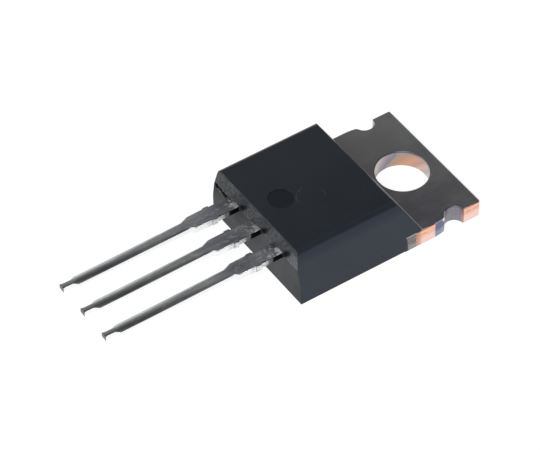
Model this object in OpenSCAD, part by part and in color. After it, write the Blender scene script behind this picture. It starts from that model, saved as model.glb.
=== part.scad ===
// Power transistor in a flat tabbed package, standard TO-220 outline, lying on its metal back.
// Millimetres. The origin is the centre of the tab's hole, on the back face of the metal.
// +X runs across the width, +Y runs from the leads towards the free end of the tab, +Z points away
// from the back face, through the tab and out of the marked face.

/* [Tab] */
// width of the metal tab, flush with the sides of the moulding
tab_w = 10.40; // [9.96:0.01:10.52]
// thickness of the metal tab and die pad
tab_t = 1.35; // [1.14:0.01:1.40]
// hole centre to the free end of the tab
hole_to_end = 2.68; // [2.54:0.01:3.00]
// diameter of the mounting hole
hole_d = 3.75; // [3.53:0.01:3.94]
// length of tab left bare at its sides
tab_side_l = 6.10; // [6.10:0.01:6.71]
// radius of the tab's two free corners
tab_corner_r = 0.14; // [0.05:0.01:0.40]
// radius of the round notch in each side of the tab
notch_r = 0.71; // [0.50:0.01:1.00]
// free end of the tab to the centre of each notch
notch_from_end = 2.12; // [1.60:0.01:2.60]
// how far each notch centre lies outside the tab's side
notch_out = 0.04; // [0.00:0.01:0.20]
// free end of the tab to where the side is full width again behind the notch
lip_from_end = 3.85; // [3.30:0.01:4.60]
// how far the side's soft lip would fall away by the middle of the notch
lip_drop = 0.34; // [0.05:0.01:0.50]
// slanting cut that eases the notch's rear corner: its distance from the notch centre, in notch radii
lip_ease_k = 0.92; // [0.80:0.01:1.00]

/* [Die pad] */
// width of the die pad on the back face
pad_back_w = 8.00; // [6.86:0.02:8.89]
// width of the locking flange around the top of the pad
pad_flange_w = 8.90; // [8.00:0.02:9.40]
// height at which the locking flange starts
pad_flange_z = 0.66; // [0.40:0.01:0.90]
// parting line on the front face to the near edge of the pad
pad_in = 2.43; // [1.80:0.01:3.20]
// radius of the pad's inner corners
pad_corner_r = 0.40; // [0.10:0.02:1.00]
// width at the top of the V groove that keys the moulding to the metal; it is as long as the flange is wide
key_w = 0.56; // [0.30:0.02:0.90]
// depth of the V groove
key_d = 0.28; // [0.10:0.02:0.50]
// free end of the tab to the V groove
key_from_end = 5.70; // [5.20:0.02:6.40]

/* [Moulding] */
// total thickness from the back face to the marked face
body_t = 4.48; // [4.24:0.01:4.65]
// free end of the tab to the front face at the parting line
body_end = 14.63; // [14.33:0.01:15.85]
// height of the parting line on the front face
part_z = 3.00; // [2.50:0.01:3.40]
// draft inset of the front face at the back
front_low_in = 0.12; // [0.00:0.01:0.40]
// draft inset of the front face at the marked face
front_top_in = 0.19; // [0.00:0.01:0.60]
// free end of the tab to the rear edge of the marked face
top_rear = 6.64; // [6.00:0.02:7.40]
// free end of the tab to the foot of the sloping rear face, on top of the tab
foot_rear = 4.76; // [4.00:0.02:6.00]
// height at which the sides start to lean in
side_z = 1.35; // [0.60:0.01:2.00]
// how far each side leans in by the height of its rounded edge
side_lean = 0.52; // [0.05:0.01:0.80]
// radius of the long edges of the marked face
top_edge_r = 0.42; // [0.10:0.01:0.90]
// radius of the upright corners of the moulding
body_corner_r = 0.20; // [0.05:0.01:0.50]
// diameter of the round ejector pin mark
pin_mark_d = 1.84; // [1.20:0.02:3.00]
// depth of the ejector pin mark
pin_mark_depth = 0.05; // [0.02:0.01:0.30]
// free end of the tab to the centre of the ejector pin mark
pin_mark_from_end = 12.58; // [9.00:0.02:13.40]

/* [Leads] */
// distance from lead centre to lead centre
pitch = 2.54; // [2.40:0.01:2.67]
// thickness of the three leads
lead_t = 0.50; // [0.36:0.01:0.61]
// back face of the metal to the underside of the leads
lead_z = 2.75; // [2.41:0.01:2.92]
// width of a lead between the moulding and the cut tie bar
root_w = 1.15; // [1.00:0.01:1.60]
// width of a lead's shoulder
shoulder_w = 1.24; // [1.14:0.01:1.78]
// width of a lead's long narrow part
lead_w = 0.78; // [0.69:0.01:1.02]
// length of a lead from the parting line to its tip
lead_l = 13.40; // [13.36:0.02:14.40]
// parting line to the middle of the cut tie bar
tie_from_body = 1.86; // [1.40:0.02:2.40]
// length along the lead of each cut tie bar stub
tie_l = 0.42; // [0.20:0.02:0.80]
// how far each cut stub stands out
tie_out = 0.06; // [0.00:0.01:0.20]
// parting line to the end of the full shoulder
shoulder_l = 3.34; // [3.33:0.01:4.04]
// length of the long taper on the far side of the shoulder
taper_far = 0.62; // [0.20:0.02:1.20]
// length of the short step on the near side of the shoulder
taper_near = 0.24; // [0.10:0.02:0.80]
// length of the necked tip
neck_l = 1.02; // [0.50:0.02:1.60]
// width of the neck
neck_w = 0.36; // [0.24:0.01:0.60]
// length of the slope from the narrow part down to the neck
neck_slope = 0.44; // [0.10:0.02:0.60]
// length of the flared, sheared end
flare_l = 0.10; // [0.05:0.01:0.40]
// width of the flared, sheared end
flare_w = 0.48; // [0.30:0.01:0.80]

/* [Lead frame inside] */
// parting line to the outer edge of the bond posts
post_in = 0.85; // [0.60:0.01:1.40]
// length of the bond posts
post_l = 1.50; // [1.00:0.02:1.80]
// outer edge of each bond post, out from the centre line
post_outer = 4.10; // [3.60:0.02:4.30]
// inner edge of each bond post, out from the centre line
post_inner = 1.16; // [0.90:0.02:1.60]
// corner radius of the bond posts
post_r = 0.25; // [0.10:0.01:0.50]
// diameter of the locking hole in each bond post
lock_d = 0.70; // [0.40:0.02:1.00]
// locking hole centre, out from the centre line
lock_x = 3.60; // [3.00:0.02:3.80]
// angle of the centre lead's rise from the pad to the lead plane
rise_deg = 58; // [40:1:75]
// inside radius of the centre lead's bends
bend_r = 0.30; // [0.15:0.01:0.60]
// parting line to the start of the upper bend
bend_in = 0.62; // [0.40:0.01:1.20]

/* [Die] */
// width of the silicon die
die_w = 3.70; // [2.00:0.05:5.50]
// near edge of the pad to the near edge of the die
die_front_margin = 0.85; // [0.50:0.01:1.60]
// far edge of the die to the bare part of the tab
die_back_margin = 0.55; // [0.30:0.01:1.60]
// thickness of the silicon die
die_t = 0.28; // [0.15:0.01:0.40]
// thickness of the solder under the die
solder_t = 0.06; // [0.03:0.01:0.12]
// how far the solder reaches beyond the die on each side
solder_out = 0.14; // [0.00:0.01:0.30]

/* [Bond wires] */
// diameter of the gate wire
gate_wire_d = 0.15; // [0.10:0.01:0.25]
// diameter of each source wire
source_wire_d = 0.36; // [0.20:0.01:0.50]
// radius of each wire's loop, as a share of the straight distance between its two ends
loop_k = 0.64; // [0.58:0.01:1.20]
// gate wire on the die: out from the centre line, as a share of the die's width
gate_pad_across = 0.34; // [0.20:0.01:0.42]
// gate wire on the die: in from its near edge, as a share of the die's length
gate_pad_along = 0.12; // [0.08:0.01:0.30]
// inner source wire on the die: out from the centre line, as a share of the die's width
source_1_pad_across = 0.04; // [0.00:0.01:0.12]
// inner source wire on the die: in from its near edge, as a share of the die's length
source_1_pad_along = 0.40; // [0.30:0.01:0.60]
// outer source wire on the die: out from the centre line, as a share of the die's width
source_2_pad_across = 0.30; // [0.20:0.01:0.40]
// outer source wire on the die: in from its near edge, as a share of the die's length
source_2_pad_along = 0.42; // [0.30:0.01:0.60]
// gate wire on its post: out from the inner edge, as a share of the post's width
gate_post_across = 0.39; // [0.15:0.01:0.60]
// inner source wire on its post: out from the inner edge, as a share of the post's width
source_1_post_across = 0.17; // [0.12:0.01:0.25]
// outer source wire on its post: out from the inner edge, as a share of the post's width
source_2_post_across = 0.47; // [0.40:0.01:0.60]
// gate wire on its post: in from the outer edge, as a share of the post's length
gate_post_along = 0.53; // [0.40:0.01:0.70]
// source wires on their post: in from the outer edge, as a share of the post's length
source_post_along = 0.65; // [0.50:0.01:0.70]
// length of a flattened bond foot, in wire diameters
foot_len_k = 2.2; // [1.5:0.1:3.0]
// width of a flattened bond foot, in wire diameters
foot_wide_k = 1.4; // [1.1:0.1:2.0]
// height of a flattened bond foot, in wire diameters
foot_tall_k = 0.5; // [0.3:0.1:0.8]
// share of a foot that lies behind the point where the wire comes down
foot_back_k = 0.72; // [0.50:0.02:0.90]

/* [Hidden] */
$fn = 64;
eps = 0.5;
// how far a wire's arc is drawn on past its feet before it is trimmed, in degrees
plunge_deg = 9;
// straight steps in each bend of the centre lead
bend_n = 12;
end_y = hole_to_end;
front_y = end_y - body_end;
side_y = end_y - tab_side_l;
tip_y = front_y - lead_l;
lead_top = lead_z + lead_t;
top_y = end_y - top_rear;
foot_y = end_y - foot_rear;
pad_y = front_y + pad_in;
key_y = end_y - key_from_end;
// the die lies between its two margins
die_near = pad_y + die_front_margin;
die_l = side_y - die_back_margin - die_near;
die_z = tab_t + solder_t;
die_top = die_z + die_t;
post_y = front_y + post_in;
post_w = post_outer - post_inner;

// a rectangle with four rounded corners, from its low corner
module round_rect(x0, y0, w, l, r) {
    translate([x0 + r, y0]) square([w - 2 * r, l]);
    translate([x0, y0 + r]) square([w, l - 2 * r]);
    for (x = [x0 + r, x0 + w - r], y = [y0 + r, y0 + l - r]) translate([x, y]) circle(r = r);
}

// outline of the bare tab, with a round notch and a soft lip on each side
module tab_plan() {
    l = tab_side_l;
    cx = tab_w / 2 + notch_out;
    cy = end_y - notch_from_end;
    k = lip_ease_k * notch_r * sqrt(0.5);
    lip_l = lip_from_end - notch_from_end;
    lip_big_r = (lip_l * lip_l + lip_drop * lip_drop) / (2 * lip_drop);
    difference() {
        union() {
            translate([-tab_w / 2, side_y]) square([tab_w, l - tab_corner_r]);
            translate([-tab_w / 2 + tab_corner_r, side_y]) square([tab_w - 2 * tab_corner_r, l]);
            for (s = [-1, 1])
                translate([s * (tab_w / 2 - tab_corner_r), end_y - tab_corner_r]) circle(r = tab_corner_r);
        }
        polygon([[cx - k, cy - k], [cx + k, cy - 3 * k], [cx, cy]]);
        polygon([[-cx, cy], [-cx - k, cy - 3 * k], [k - cx, cy - k]]);
        for (s = [0, 1]) mirror([s, 0]) {
            translate([cx, cy]) circle(r = notch_r);
            difference() {
                translate([tab_w / 2 - 0.5, end_y - lip_from_end]) square([1, lip_l]);
                translate([tab_w / 2 - lip_big_r, end_y - lip_from_end]) circle(r = lip_big_r, $fn = 360);
            }
        }
        circle(d = hole_d);
    }
}

// the lead outline seen from the marked face; the far side has the longer taper
module lead_plan(y_in) {
    w0 = root_w / 2;
    w1 = shoulder_w / 2;
    w2 = lead_w / 2;
    w3 = neck_w / 2;
    w4 = flare_w / 2;
    wt = w1 + tie_out;
    ya = front_y - tie_from_body + tie_l / 2;
    yb = front_y - tie_from_body - tie_l / 2;
    ys = front_y - shoulder_l;
    yn = tip_y + neck_l;
    polygon([
        [-w0, y_in], [-w0, ya], [-wt, ya], [-wt, yb], [-w1, yb], [-w1, ys], [-w2, ys - taper_far],
        [-w2, yn], [-w3, yn - neck_slope], [-w3, tip_y + 2 * flare_l], [-w4, tip_y + flare_l / 2], [-w4, tip_y],
        [w4, tip_y], [w4, tip_y + flare_l / 2], [w3, tip_y + 2 * flare_l], [w3, yn - neck_slope],
        [w2, yn], [w2, ys - taper_near], [w1, ys], [w1, yb], [wt, yb], [wt, ya], [w0, ya], [w0, y_in]]);
}

// side profile of the centre lead's rise: Y across, Z up, with two round bends of constant thickness
module rise_profile() {
    a = rise_deg;
    ri = bend_r;
    ro = bend_r + lead_t;
    // centre of the upper bend, under the lead plane, and of the lower bend, over the pad's strip
    yu = front_y + bend_in;
    zu = lead_z - ri;
    zl = tab_t + ri;
    len = (zu - zl + (ri + ro) * cos(a)) / sin(a);
    yl = yu + (ro + ri) * sin(a) + len * cos(a);
    polygon(concat(
        [[pad_y + eps, tab_t - lead_t], [pad_y + eps, tab_t]],
        [for (i = [0:bend_n]) [yl - ri * sin(a * i / bend_n), zl - ri * cos(a * i / bend_n)]],
        [for (i = [bend_n:-1:0]) [yu + ro * sin(a * i / bend_n), zu + ro * cos(a * i / bend_n)]],
        [[yu - eps, lead_top], [yu - eps, lead_z]],
        [for (i = [0:bend_n]) [yu + ri * sin(a * i / bend_n), zu + ri * cos(a * i / bend_n)]],
        [for (i = [bend_n:-1:0]) [yl - ro * sin(a * i / bend_n), zl - ro * cos(a * i / bend_n)]]));
}

// the header: tab, die pad and centre lead, stamped and bent from one strip
module header_solid() {
    linear_extrude(tab_t) tab_plan();
    // die pad with its locking flange
    translate([-pad_back_w / 2, pad_y, 0]) cube([pad_back_w, side_y - pad_y + eps, tab_t]);
    translate([0, 0, pad_flange_z]) linear_extrude(tab_t - pad_flange_z)
        round_rect(-pad_flange_w / 2, pad_y, pad_flange_w, side_y - pad_y + eps, pad_corner_r);
    // the strip that rises from the pad to the lead plane
    translate([-root_w / 2, 0, 0]) rotate([90, 0, 90]) linear_extrude(root_w) rise_profile();
    translate([0, 0, lead_z]) linear_extrude(lead_t) lead_plan(front_y + bend_in - 0.1);
}

module drain_header() {
    color([0.78, 0.79, 0.80]) difference() {
        header_solid();
        // V groove across the strip, under the moulding
        translate([-pad_flange_w / 2, key_y, tab_t]) rotate([90, 0, 90]) linear_extrude(pad_flange_w)
            polygon([[-key_w / 2, 0.001], [0, -key_d], [key_w / 2, 0.001]]);
    }
}

// a signal lead with its bond post inside the moulding; side is -1 or 1
module signal_lead(side) {
    translate([0, 0, lead_z]) linear_extrude(lead_t) difference() {
        union() {
            translate([side * pitch, 0]) lead_plan(post_y + 0.2);
            translate([side > 0 ? post_inner : -post_outer, post_y]) round_rect(0, 0, post_w, post_l, post_r);
        }
        translate([side * lock_x, post_y + post_l / 2]) circle(d = lock_d);
    }
}

module gate_lead() {
    color([0.76, 0.77, 0.78]) signal_lead(-1);
}

module source_lead() {
    color([0.76, 0.77, 0.78]) signal_lead(1);
}

module die_solder() {
    color([0.62, 0.63, 0.66]) translate([0, 0, tab_t]) linear_extrude(solder_t)
        round_rect(-die_w / 2 - solder_out, die_near - solder_out,
                   die_w + 2 * solder_out, die_l + 2 * solder_out, 0.2);
}

module silicon_die() {
    color([0.30, 0.31, 0.36]) translate([-die_w / 2, die_near, die_z]) cube([die_w, die_l, die_t]);
}

// one bond wire on side -1 or 1: a round arc from the die to the post, with a flattened foot at each end;
// on_die and on_post are its places on them as [share across, share along]
module bond_wire(side, on_die, on_post, d) {
    a = [side * on_die[0] * die_w, die_near + on_die[1] * die_l];
    b = [side * (post_inner + on_post[0] * post_w), post_y + on_post[1] * post_l];
    span = norm([b[0] - a[0], b[1] - a[1]]);
    turn = atan2(b[1] - a[1], b[0] - a[0]);
    rise = lead_top - die_top;
    chord = norm([span, rise]);
    r = loop_k * chord;
    sag = sqrt(r * r - chord * chord / 4);
    cs = span / 2 + sag * rise / chord;
    cz = (die_top + lead_top) / 2 - sag * span / chord;
    from = atan2(lead_top - cz, span - cs) - plunge_deg;
    to = atan2(die_top - cz, -cs) + plunge_deg;
    long = foot_len_k * d;
    wide = foot_wide_k * d;
    difference() {
        translate([a[0], a[1], 0]) rotate([0, 0, turn])
            translate([cs, 0, cz]) rotate([90, 0, 0]) rotate([0, 0, from])
                rotate_extrude(angle = to - from) translate([r, 0]) circle(d = d);
        // the arc ends on the surfaces it is bonded to
        for (p = [[a[0], a[1], die_top - long], [b[0], b[1], lead_top - long]])
            translate(p) cube(2 * long, center = true);
    }
    for (f = [[a, die_top, -long * foot_back_k], [b, lead_top, -long * (1 - foot_back_k)]])
        translate([f[0][0], f[0][1], f[1]]) rotate([0, 0, turn])
            linear_extrude(foot_tall_k * d) round_rect(f[2], -wide / 2, long, wide, wide * 0.3);
}

module gate_wire() {
    color([0.82, 0.83, 0.85]) bond_wire(
        -1, [gate_pad_across, gate_pad_along], [gate_post_across, gate_post_along], gate_wire_d);
}

module source_wire_1() {
    color([0.82, 0.83, 0.85]) bond_wire(
        1, [source_1_pad_across, source_1_pad_along], [source_1_post_across, source_post_along], source_wire_d);
}

module source_wire_2() {
    color([0.82, 0.83, 0.85]) bond_wire(
        1, [source_2_pad_across, source_2_pad_along], [source_2_post_across, source_post_along], source_wire_d);
}

// side profile of the moulding: Y across, Z up
module body_side() {
    polygon([[front_y + front_low_in, 0], [side_y, 0], [side_y, tab_t], [foot_y, tab_t], [top_y, body_t],
             [front_y + front_top_in, body_t], [front_y, part_z]]);
}

// front profile of the moulding: X across, Z up, with rounded long edges
module body_front() {
    half = tab_w / 2;
    r = top_edge_r;
    lean = atan2(side_lean, body_t - r - side_z);
    // each rounding's centre; its circle stands a hair proud of both faces, so that it trims cleanly
    hair = 0.003;
    cz = body_t - r + hair;
    cx = half - (cz - side_z) * tan(lean) - (r - hair) / cos(lean);
    fx = cx + (r - hair) * cos(lean);
    fz = cz + (r - hair) * sin(lean);
    intersection() {
        union() {
            polygon([[-half, 0], [half, 0], [half, side_z], [fx, fz], [cx, cz], [cx, body_t],
                     [-cx, body_t], [-cx, cz], [-fx, fz], [-half, side_z]]);
            for (x = [-cx, cx]) translate([x, cz]) circle(r = r);
        }
        translate([-half, 0]) square([2 * half, body_t]);
    }
}

// outline of the moulding seen from the marked face
module body_plan() {
    round_rect(-tab_w / 2, front_y, tab_w, foot_y - front_y, body_corner_r);
}

module body_solid() {
    // the moulding that fills the V groove; the metal takes away the rest of this bar
    translate([-pad_flange_w / 2 - key_d, key_y - key_w, tab_t - 1.3 * key_d])
        cube([pad_flange_w + 2 * key_d, 2 * key_w, 1.6 * key_d]);
    intersection() {
        translate([-tab_w, 0, 0]) rotate([90, 0, 90]) linear_extrude(2 * tab_w) body_side();
        translate([0, foot_y + 1, 0]) rotate([90, 0, 0]) linear_extrude(body_end + 2) body_front();
        linear_extrude(body_t) body_plan();
    }
}

module mould_body() {
    color([0.14, 0.15, 0.17]) difference() {
        body_solid();
        drain_header();
        gate_lead();
        source_lead();
        die_solder();
        silicon_die();
        gate_wire();
        source_wire_1();
        source_wire_2();
        translate([0, end_y - pin_mark_from_end, body_t - pin_mark_depth]) cylinder(d = pin_mark_d, h = 1);
    }
}

mould_body();
drain_header();
gate_lead();
source_lead();
die_solder();
silicon_die();
gate_wire();
source_wire_1();
source_wire_2();
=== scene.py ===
import math

import bmesh
import bpy
from mathutils import Matrix, Vector


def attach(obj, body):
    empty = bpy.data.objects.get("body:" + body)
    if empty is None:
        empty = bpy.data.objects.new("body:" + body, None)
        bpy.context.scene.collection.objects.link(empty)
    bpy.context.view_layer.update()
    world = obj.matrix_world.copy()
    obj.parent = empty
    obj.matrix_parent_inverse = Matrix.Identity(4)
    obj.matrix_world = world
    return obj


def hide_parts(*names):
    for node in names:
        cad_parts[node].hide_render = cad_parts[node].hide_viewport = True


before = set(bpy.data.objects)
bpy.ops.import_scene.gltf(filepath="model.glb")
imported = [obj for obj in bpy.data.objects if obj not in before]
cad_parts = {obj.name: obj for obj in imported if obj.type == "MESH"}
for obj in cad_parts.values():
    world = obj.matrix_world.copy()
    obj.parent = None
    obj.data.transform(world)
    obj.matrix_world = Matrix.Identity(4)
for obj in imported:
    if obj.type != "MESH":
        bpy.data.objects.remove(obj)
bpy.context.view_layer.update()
MM = 0.001

# sizes that the finishes and the bevels read, in millimetres, as in the part's source
TAB_HALF = 5.20
TAB_T = 1.35
END_Y = 2.68
SIDE_Y = -3.42
FOOT_Y = -2.08
TOP_Y = -3.96
FRONT_Y = -11.95
FRONT_TOP_IN = 0.19
BODY_T = 4.48
PART_Z = 3.00
TOP_EDGE_R = 0.42
SIDE_Z = 1.35
SIDE_LEAN = 0.52
BODY_CORNER_R = 0.20
HOLE_R = 1.875
NOTCH_X = 5.24
NOTCH_Y = 0.56
NOTCH_R = 0.71
PITCH = 2.54
LEAD_Z = 2.75
LEAD_TOP = 3.25
ROOT_HALF = 0.575
SHOULDER_HALF = 0.62
STUB_HALF = 0.68
LEAD_HALF = 0.39
NECK_HALF = 0.20
FLARE_HALF = 0.24
TIP_Y = -25.35
STUB_FAR_Y = -13.60
STUB_NEAR_Y = -14.02
SHOULDER_Y = -15.29
TAPER_FAR = 0.62
TAPER_NEAR = 0.24
PIN_MARK_Y = -9.90
PIN_MARK_R = 0.92
DIE_NEAR_Y = -8.67
DIE_L = 4.70
DIE_W = 3.70
DIE_TOP = 1.69
POST_Y = -11.10
POST_L = 1.50
POST_INNER = 1.16
POST_W = 2.94
LOOP_K = 0.64

# how far the moulding's long lower edges are eased, inward and up
EASE_IN = 0.065
EASE_UP = 0.10
# where the outer part of a lead starts, a little inside the moulding
CUT_Y = FRONT_Y + 0.20
# widths of the fine bevels, and the least angles that are bevelled or shaded as a crease
BODY_EDGE = 0.035
METAL_EDGE = 0.05
BEVEL_DEG = 24.0
CREASE_DEG = 32.0
WIRE_CREASE_DEG = 40.0
# a bond wire's foot in wire diameters, and its shift back along the wire in foot lengths
FOOT_SIZE = (2.2, 1.4, 0.5)
FOOT_SHIFT = -0.22

# the scratch on the moulding: its centre, its radius and the middles of its two arcs in radians
SCRATCH_X = 0.98
SCRATCH_Y = -8.18
SCRATCH_R = 0.97
SCRATCH_LONG = -2.36
SCRATCH_SHORT = 1.45
# where resin flash with painted crevice shade, and a painted glint beside it, lie along the parting
# line
FLASH_SHADE_X = (-4.80, -3.25)
GLINT_X = (-4.45, -3.90)
# the paler patch on the front's near corner, and how far it slants as it goes up
PALE_PATCH_X = (3.6, 5.2)
PALE_PATCH_SLANT = 0.35
# the slant of the painted shade streaks past the roots, across and up
STREAK_ACROSS = 0.73
STREAK_UP = 0.68
# on a lead's walls: where the painted shade next to the moulding ends, and the stretch that the tie
# bar's shear crushed
DARK_WALL_END_Y = (-12.85, -12.60)
CRUSHED_Y = (-14.45, -13.05)
# the height of the line between the header's burnished band and its torn one
SHEAR_Z = 0.66
# along the header's sides: the notch's start, the tinted lip's end, darker copper, the raw part
NOTCH_START_Y = -0.12
LIP_END_Y = -1.02
DARKER_Y = (-2.00, -2.45)
RAW_Y = (-2.54, -2.66)
# anything further out than this is on the near wall, at the source lead's side
SIDE_X = 4.4
# the direction of the middle of the hole wall's far half, in degrees
HOLE_FAR_DEG = 145.6

# the chip's dark border, and its gate pad: its place as a share of the width, and its frame
STREET = 0.16
GATE_PAD_SHARE = 0.34
GATE_PAD_IN = 0.62
GATE_PAD_FRAME = (0.47, 0.55)

# the stage, in metres, and the photograph's width and fitted focal length, in pixels
FLOOR_HALF = 1.5
FLOOR_DROP = 0.00003
AIM = (0.0, -0.008, 0.0)
PHOTO_W = 540.0
FOCAL_PX = 3404.23
SENSOR_MM = 36.0


class Sock:
    """A node's output that adds Math nodes when it is used in an expression."""

    def __init__(self, graph, out):
        self.graph = graph
        self.out = out

    def _math(self, op, *terms, clamp=False):
        return self.graph.node("ShaderNodeMath", {"operation": op, "use_clamp": clamp},
                               dict(enumerate(terms)))

    def __add__(self, other):
        return self._math("ADD", self, other)

    __radd__ = __add__

    def __sub__(self, other):
        return self._math("SUBTRACT", self, other)

    def __rsub__(self, other):
        return self._math("SUBTRACT", other, self)

    def __mul__(self, other):
        return self._math("MULTIPLY", self, other)

    __rmul__ = __mul__

    def __truediv__(self, other):
        return self._math("DIVIDE", self, other)

    def __rtruediv__(self, other):
        return self._math("DIVIDE", other, self)

    def __pow__(self, other):
        return self._math("POWER", self, other)

    def __rpow__(self, other):
        return self._math("POWER", other, self)

    def __abs__(self):
        return self._math("ABSOLUTE", self)

    def twin(self, name):
        """Another output of the same node."""
        return Sock(self.graph, self.out.node.outputs[name])

    def angle_to(self, other):
        """The angle in radians of the direction (other, self)."""
        return self._math("ARCTAN2", self, other)

    def reach(self, other):
        """The length of (self, other)."""
        return (self * self + other * other) ** 0.5

    def above(self, edge):
        """1 above edge, 0 below."""
        return self._math("GREATER_THAN", self, edge)

    def clamped(self):
        """Held between 0 and 1."""
        return self._math("ADD", self, 0.0, clamp=True)

    def larger(self, other):
        return self._math("MAXIMUM", self, other)

    def step(self, low, high):
        """0 below low, 1 above high, smooth between; low above high turns it round."""
        return self.graph.node("ShaderNodeMapRange", {"interpolation_type": "SMOOTHSTEP"},
                               {"Value": self, "From Min": low, "From Max": high}, "Result")

    def band(self, low, high, soft):
        """1 between low and high, fading out over soft."""
        return self.step(low - soft, low + soft) * self.step(high + soft, high - soft)


class Graph:
    """A node tree, and the one method that adds nodes to it."""

    def __init__(self, tree):
        self.tree = tree
        tree.nodes.clear()

    def node(self, kind, settings, values, out=0):
        """Adds a node of that type, with its settings and then its sockets, and gives an output.

        A socket takes a value, the output that it is linked to, or a list of such outputs.
        """
        made = self.tree.nodes.new(kind)
        for key, value in settings.items():
            if key == "stops":
                stops = made.color_ramp.elements
                while len(stops) < len(value):
                    stops.new(0.5)
                for stop, (at, colour) in zip(stops, value):
                    stop.position = at
                    stop.color = (*colour, 1.0)
            else:
                setattr(made, key, value)
        for key, value in values.items():
            socket = made.inputs[key]
            for item in value if isinstance(value, list) else [value]:
                if isinstance(item, Sock):
                    self.tree.links.new(item.out, socket)
                elif socket.type == "RGBA":
                    socket.default_value = (*item, 1.0)
                else:
                    socket.default_value = item
        return Sock(self, made.outputs[out]) if made.outputs else None


class Finish(Graph):
    """A material, patterned by the place in the part's own frame."""

    def __init__(self, name):
        self.material = bpy.data.materials.new(name)
        self.material.use_nodes = True
        super().__init__(self.material.node_tree)
        self.place = self.node("ShaderNodeTexCoord", {}, {}, "Object")

    def parts_of(self, vector, scale=1.0):
        """The three parts of a vector, each times scale."""
        split = self.node("ShaderNodeSeparateXYZ", {}, {0: vector})
        parts = [split.twin(axis) for axis in "XYZ"]
        return parts if scale == 1.0 else [part * scale for part in parts]

    def xyz(self):
        """The place in millimetres."""
        return self.parts_of(self.place, 1.0 / MM)

    def normal(self):
        """The three parts of the surface's direction."""
        return self.parts_of(self.node("ShaderNodeNewGeometry", {}, {}, "Normal"))

    def scaled_place(self, size, along=(1.0, 1.0, 1.0)):
        """The place in units of size millimetres, each axis times its factor in along."""
        scale = tuple(factor / (size * MM) for factor in along)
        return self.node("ShaderNodeMapping", {}, {"Vector": self.place, "Scale": scale})

    def noise(self, size, detail, rough, along=(1.0, 1.0, 1.0), *, seed):
        """Noise with grains of about size millimetres, drawn out where along is smaller."""
        return self.node("ShaderNodeTexNoise", {"noise_dimensions": "4D"},
                         {"Vector": self.scaled_place(size, along), "W": seed, "Scale": 1.0,
                          "Detail": detail, "Roughness": rough})

    def specks(self, size, seed):
        """Distance to the nearest of scattered points, about size millimetres apart."""
        return self.node("ShaderNodeTexVoronoi", {"voronoi_dimensions": "4D"},
                         {"Vector": self.scaled_place(size), "W": seed, "Scale": 1.0}, "Distance")

    def mix(self, mask, low, high):
        """Goes from low to high with mask; each is a varying colour or eight-bit levels."""
        low, high = (srgb(*c) if isinstance(c, tuple) else c for c in (low, high))
        return self.node("ShaderNodeMix", {"data_type": "RGBA"}, {0: mask, 6: low, 7: high}, 2)

    def coats(self, colour, *layers):
        """Lays layers over a colour, from the first to the last, each a mask and its colour."""
        for mask, tone in layers:
            colour = self.mix(mask, colour, tone)
        return colour

    def ramp(self, value, stops):
        """A colour from stops, each a value and eight-bit levels."""
        stops = [(at, srgb(*levels)) for at, levels in stops]
        return self.node("ShaderNodeValToRGB", {"stops": stops}, {"Fac": value}, "Color")

    def bump(self, height, strength, distance):
        """A surface direction that follows height, in distance millimetres."""
        return self.node("ShaderNodeBump", {}, {"Strength": strength, "Distance": distance * MM,
                                                "Height": height})

    def show(self, shader):
        """Ends the tree in a shader."""
        self.node("ShaderNodeOutputMaterial", {}, {"Surface": shader})
        return self.material

    def close(self, values, dull=None):
        """Ends the tree in a Principled shader, faded by dull into one that mirrors nothing."""
        shader = self.node("ShaderNodeBsdfPrincipled", {}, values)
        if dull is not None:
            flat = self.node("ShaderNodeBsdfPrincipled", {}, {**values, "Specular IOR Level": 0.0})
            shader = self.node("ShaderNodeMixShader", {}, {0: dull, 1: shader, 2: flat})
        return self.show(shader)


def srgb(*levels):
    """A colour written as eight-bit levels."""
    shares = [level / 255 for level in levels]
    return tuple(s / 12.92 if s <= 0.04045 else ((s + 0.055) / 1.055) ** 2.4 for s in shares)


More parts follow.
